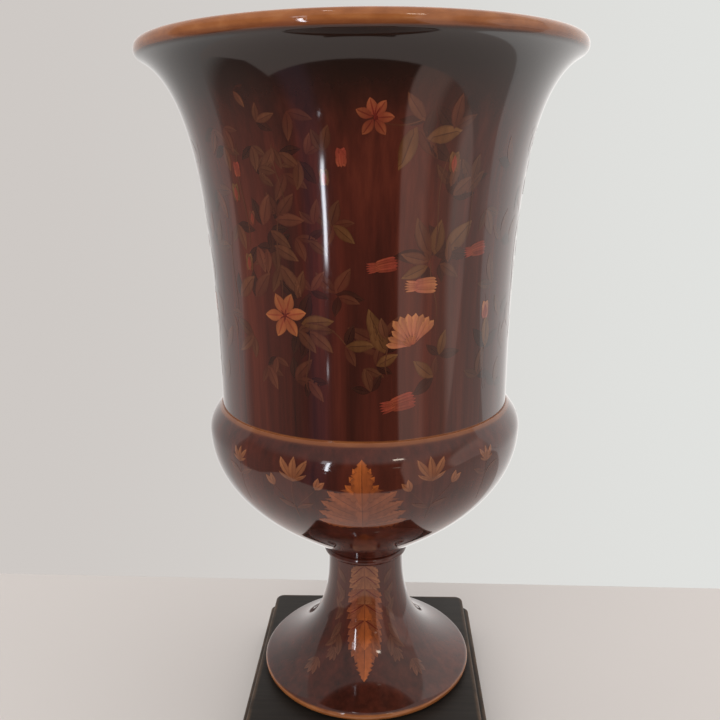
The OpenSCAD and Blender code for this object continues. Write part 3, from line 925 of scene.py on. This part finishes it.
# where a big leaf stands, then its pairs of lobes from the bottom to the top
FRONTS = (1, 181)
SIDE_LOBES = ((78, 1.5, 23.0, 8.0, 6), (70, 5.0, 23.5, 8.5, 6),
              (62, 9.0, 23.5, 8.5, 6), (54, 13.5, 21.5, 8.0, 6))
SPEAR_LOBES = ((50, 23.0, 11.0, 5.0, 3), (42, 27.5, 9.5, 4.5, 3), (34, 32.0, 8.0, 4.0, 3))
for azimuth in FRONTS:
    spot = (belly_wall, azimuth, 160)
    tier(husks, *spot, 0, 32, 40, 9, LOW - 0.01, sweep=0.25, belly=0.42)
    lobes(husks, spot, SIDE_LOBES, LOW, 0.012)
    tier(husks, *spot, 0, 30, 9, 7, HIGH - 0.01, sweep=0.8)
    lobes(gilt, spot, SPEAR_LOBES, HIGH, 0.01)
    tier(gilt, *spot, 17, 26, 12, 7, HIGH + 0.04, sweep=0.8, belly=0.42)
print("tiers in the belly leaves:", len(husks.tone) + len(gilt.tone))


# %% Tulips
def tulip_head(paint, wall, azimuth, height, size):
    """Petals on a narrow foot that open upwards, the outer ones bowed outwards."""
    spot = (wall, azimuth, height)
    for side in (-1, 1):
        petals(paint, *spot, (side * 50,), size * 0.64, size * 0.15, start=0, belly=0.5, bend=side * 0.16)
        petals(paint, *spot, (side * 24,), size, size * 0.30, lift=MID + 0.01, start=0,
               belly=0.58, point=0.9, bend=side * 0.13)
    petals(paint, *spot, (0,), size * 0.94, size * 0.32, lift=MID + 0.02, start=0, belly=0.5, point=0.9)


TULIP_ASIDE, SIDE_TULIPS = 22.5, (46, 91, 136, 226, 271, 316)
for azimuth in FRONTS:
    for side in (-1, 1):
        at = azimuth + side * TULIP_ASIDE
        tulip_head(tulip, belly_wall, at, 187, 14)
        stem(twig, belly_wall, at, 188, [(0, 0), (side * 2, -8), (side * 1, -16), (0, -26)])
        for out, high, turn in ((-7, 183, -30), (7.5, 184, 32)):
            petals(tulip, belly_wall, at + out, high, (turn - 16, turn + 16), 7, 3.4, start=0)
            stem(twig, belly_wall, at + out, high,
                 [(0, 0), (-out * 0.3, -3), (-out * 0.8, -6), (-out * 1.3, -11)], 0.5)
        for out in (-1, 1):
            leaf(twig, belly_wall, at, 171, 58 * out, 11, 3.4, tone=0.6, bend=0.1 * out)
for at in SIDE_TULIPS:
    tulip_head(tulip, belly_wall, at, 190, 9)
    for out in (-1, 1):
        leaf(twig, belly_wall, at, 183, 62 * out, 11, 3.6, tone=0.7)
    stem(twig, belly_wall, at, 190, [(0, 0), (1, -6), (-1, -14), (0, -24)])
print("tulips:", 2 * len(FRONTS) + len(SIDE_TULIPS))

# %% Foot garland
# root height, length and full width of each tier of the garland, from the neck down
HUSKS = ((104.9, 13, 19), (98.5, 15, 21.5), (90, 16, 24), (80.5, 18, 25.5), (71, 17, 24))
HUSK_TURNS = ((116, 0.50), (132, 0.60), (148, 0.72), (163, 0.84))
END_TURNS = ((122, 12.5), (138, 15), (152, 17), (163, 19))
TWIG_ASIDE = 30
TWIG_LEAVES = ((92, 28, 11), (88, 152, 11), (82, 30, 12), (78, 150, 12), (72, 28, 12), (68, 152, 13),
               (62, 190, 13), (60, 132, 11))
for azimuth in (0, 180):
    for step, (height, length, width) in enumerate(HUSKS):
        lift = LOW + 0.016 * step
        outer, inner = tulip if step < 2 else husks, gilt if step > 2 else tulip
        for side in (-1, 1):
            for turn, size in HUSK_TURNS:
                tier(outer, foot_wall, azimuth, height, 0, width * size, 5.6, 4, lift, side * turn, 0.7)
        tier(inner, foot_wall, azimuth, height, 0, length, width * 0.45, 5, lift + 0.0097, 180, 0.7)
        for side in (-1, 1):
            seam = [(side * 0.3, 0), (side * 2.4, -1.0), (side * 4.4, -3.2), (side * width * 0.36, -6.4)]
            stem(paints["heart"], foot_wall, azimuth, height, seam, 0.6, lift + 0.012)
    for side in (-1, 1):
        for turn, length in END_TURNS:
            tier(husks, foot_wall, azimuth, 65, 0, length, 7, 5, HIGH + 0.01, side * turn, 0.7)
    tier(gilt, foot_wall, azimuth, 64, 0, 27.5, 12, 9, HIGH + 0.02, 180, 0.7)
    for side in (-1, 1):
        for out, height, size in ((31, 55, 8.5), (43, 48, 11)):
            spot = (foot_wall, azimuth + side * out, height)
            petals(bells, *spot, (180 - 20, 180, 180 + 20), size, size * 0.32, start=0, belly=0.6)
            petals(bells, *spot, (180 - 46, 180 + 46), size * 0.7, size * 0.18, start=0)
        stem(twig, foot_wall, azimuth + side * TWIG_ASIDE, 80,
             [(0, 0), (side * 3, -8), (side * 1, -20), (side * 4, -36)], 0.8)
        for height, turn, size in TWIG_LEAVES:
            leaf(bells, foot_wall, azimuth + side * TWIG_ASIDE, height, side * turn,
                 size, size * 0.36, MID, 0.3, 0.08 * side)
print("marks on the foot and belly:", sum(len(p.tone) for p in (gilt, husks, tulip, bells, twig)))

# %% Enamel pieces
paints.update(gold=gilt, husk=husks, tan=tulip, dusk=bells, twig=twig)
PIECES = (("olive", "olive_leaves"), ("russet", "russet_leaves"), ("straw", "straw_leaves"),
          ("umber", "umber_leaves"), ("blossom", "star_petals"), ("coral", "lily_petals"),
          ("daisy", "daisy_petals"), ("thistle", "thistles"), ("stem", "bell_stems"),
          ("heart", "flower_hearts"), ("gold", "serrated_leaves"), ("husk", "husk_leaves"),
          ("tan", "tulips"), ("dusk", "bell_flowers"), ("twig", "tulip_stems"))
OTHER_ENAMEL = {"stem": "olive", "heart": "oxblood", "twig": "russet"}
for key, name in PIECES:
    paints[key].finish(name, enamels[OTHER_ENAMEL.get(key, key)])

# %% [markdown]
# ## The plinth
# Two square slabs of wood, stained black and lacquered satin. Handling has
# rubbed the edges, so brown shows through there. The slabs keep their CAD
# shape; the wear comes from the distance to the edge, worked out from the
# slab's known half width, and the grain is a noise drawn out along the wood.


# %% Lacquered wood
def lacquered(name, half_width, top):
    """Black lacquer with grain along X and rubbed edges; sizes in mm."""
    material, tree, shader = finish_of(name, 0.38, 0.17)
    grain = noise(tree, stretched(tree, (0.06, 1, 1)), 320.0, 5.0, 0.65)
    pores = noise(tree, stretched(tree, (0.03, 1, 1)), 900.0, 2.0, 0.5)
    colour = ramp(tree, grain, [(0.30, (0.0135, 0.0110, 0.0095)), (0.52, (0.018, 0.0145, 0.0120)),
                                (0.75, (0.026, 0.0200, 0.0160))])
    place = put(tree, "ShaderNodeTexCoord").outputs["Object"]
    parts = put(tree, "ShaderNodeSeparateXYZ", [(0, place)])
    far_x, far_y = (maths(tree, "ABSOLUTE", parts.outputs[k]) for k in ("X", "Y"))
    near_side = maths(tree, "SUBTRACT", maths(tree, "MAXIMUM", far_x, far_y), half_width * MM)
    near_top = maths(tree, "SUBTRACT", parts.outputs["Z"], top * MM)
    near_edge = maths(tree, "ADD", near_side, near_top)
    patchy = spread(tree, noise(tree, place, 70.0, 4.0, 0.6), 0.38, 0.66, 0.25, 0.95, smooth=False)
    worn = maths(tree, "MULTIPLY", spread(tree, near_edge, -0.0030, -0.0006), patchy)
    colour = blend(tree, worn, colour, (0.105, 0.066, 0.042))
    rough = spread(tree, noise(tree, place, 24.0, 3.0), 0.3, 0.7, 0.40, 0.56, smooth=False)
    finished(tree, shader, colour, maths(tree, "MULTIPLY_ADD", pores, 0.6, grain), 0.25, 0.0002, rough)
    return material


def repaint(node, material):
    """Gives a CAD node a new material in all its slots; its mesh isn't touched."""
    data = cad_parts[node].data
    if not data.materials:
        data.materials.append(material)
    for index in range(len(data.materials)):
        data.materials[index] = material


TOP_HALF, TOP_HEIGHT, BASE_HALF, BASE_HEIGHT = 68.0, 29.0, 73.0, 17.0
repaint("plinth_top", lacquered("ebonised_wood_top", TOP_HALF, TOP_HEIGHT))
repaint("plinth_base", lacquered("ebonised_wood_base", BASE_HALF, BASE_HEIGHT))
print("slabs:", 2 * TOP_HALF, "and", 2 * BASE_HALF, "mm wide")

# %% [markdown]
# ## What holds it together
# Bolt, washers, nut and screws are zinc-plated steel, the rings between the
# parts are soft black rubber, and green felt pads keep the plinth off the
# shelf. Most of them are hidden, and each still has its own finish.


# %% Plated steel, rubber and felt
def plated():
    """Zinc plate: blue-grey metal with faint yellow clouds and turning marks."""
    material, tree, shader = finish_of("plated_steel", 0.32)
    shader.inputs["Metallic"].default_value = 1.0
    cloud = noise(tree, stretched(tree), 160.0, 3.0)
    colour = ramp(tree, cloud, [(0.3, (0.46, 0.46, 0.45)), (0.55, (0.62, 0.61, 0.58)),
                                (0.8, (0.72, 0.68, 0.56))])
    marks = noise(tree, stretched(tree, (1, 1, 12)), 300.0, 3.0)
    rough = spread(tree, marks, 0.0, 1.0, 0.22, 0.46, smooth=False)
    finished(tree, shader, colour, marks, 0.2, 0.0001, rough)
    return material


def soft_rubber():
    """Matte black rubber with bloom and a fine pebble."""
    material, tree, shader = finish_of("soft_washer", 0.8, 0.3)
    bloom = noise(tree, stretched(tree), 90.0, 4.0)
    colour = ramp(tree, bloom, [(0.3, (0.012, 0.011, 0.010)), (0.7, (0.030, 0.028, 0.026))])
    finished(tree, shader, colour, noise(tree, stretched(tree), 2200.0, 2.0), 0.4, 0.0001)
    return material


def green_felt():
    """Felt: a napped surface of crossing fibres, with painted light and shade: lighter where they stand up,
    darker between them.
    """
    material, tree, shader = finish_of("felt", 0.95, 0.1)
    shader.inputs["Sheen Weight"].default_value = 0.4
    shader.inputs["Sheen Roughness"].default_value = 0.6
    a = noise(tree, stretched(tree, (1, 0.2, 1)), 1600.0, 3.0)
    b = noise(tree, stretched(tree, (0.2, 1, 1)), 1700.0, 3.0)
    fibres = maths(tree, "MAXIMUM", a, b)
    # painted highlight on the raised fibres and painted shade between them
    colour = ramp(tree, fibres, [(0.40, (0.030, 0.048, 0.026)), (0.62, (0.075, 0.105, 0.060)),
                                 (0.78, (0.150, 0.190, 0.125))])
    finished(tree, shader, colour, fibres, 0.8, 0.0004)
    return material


steel, rubber, felt = plated(), soft_rubber(), green_felt()
for node in ("tie_bolt", "bowl_washer", "plinth_washer", "tie_nut", "plinth_screws"):
    repaint(node, steel)
for node in ("bowl_gasket", "neck_gasket", "foot_gasket"):
    repaint(node, rubber)
repaint("base_pads", felt)
print("materials:", len(bpy.data.materials))
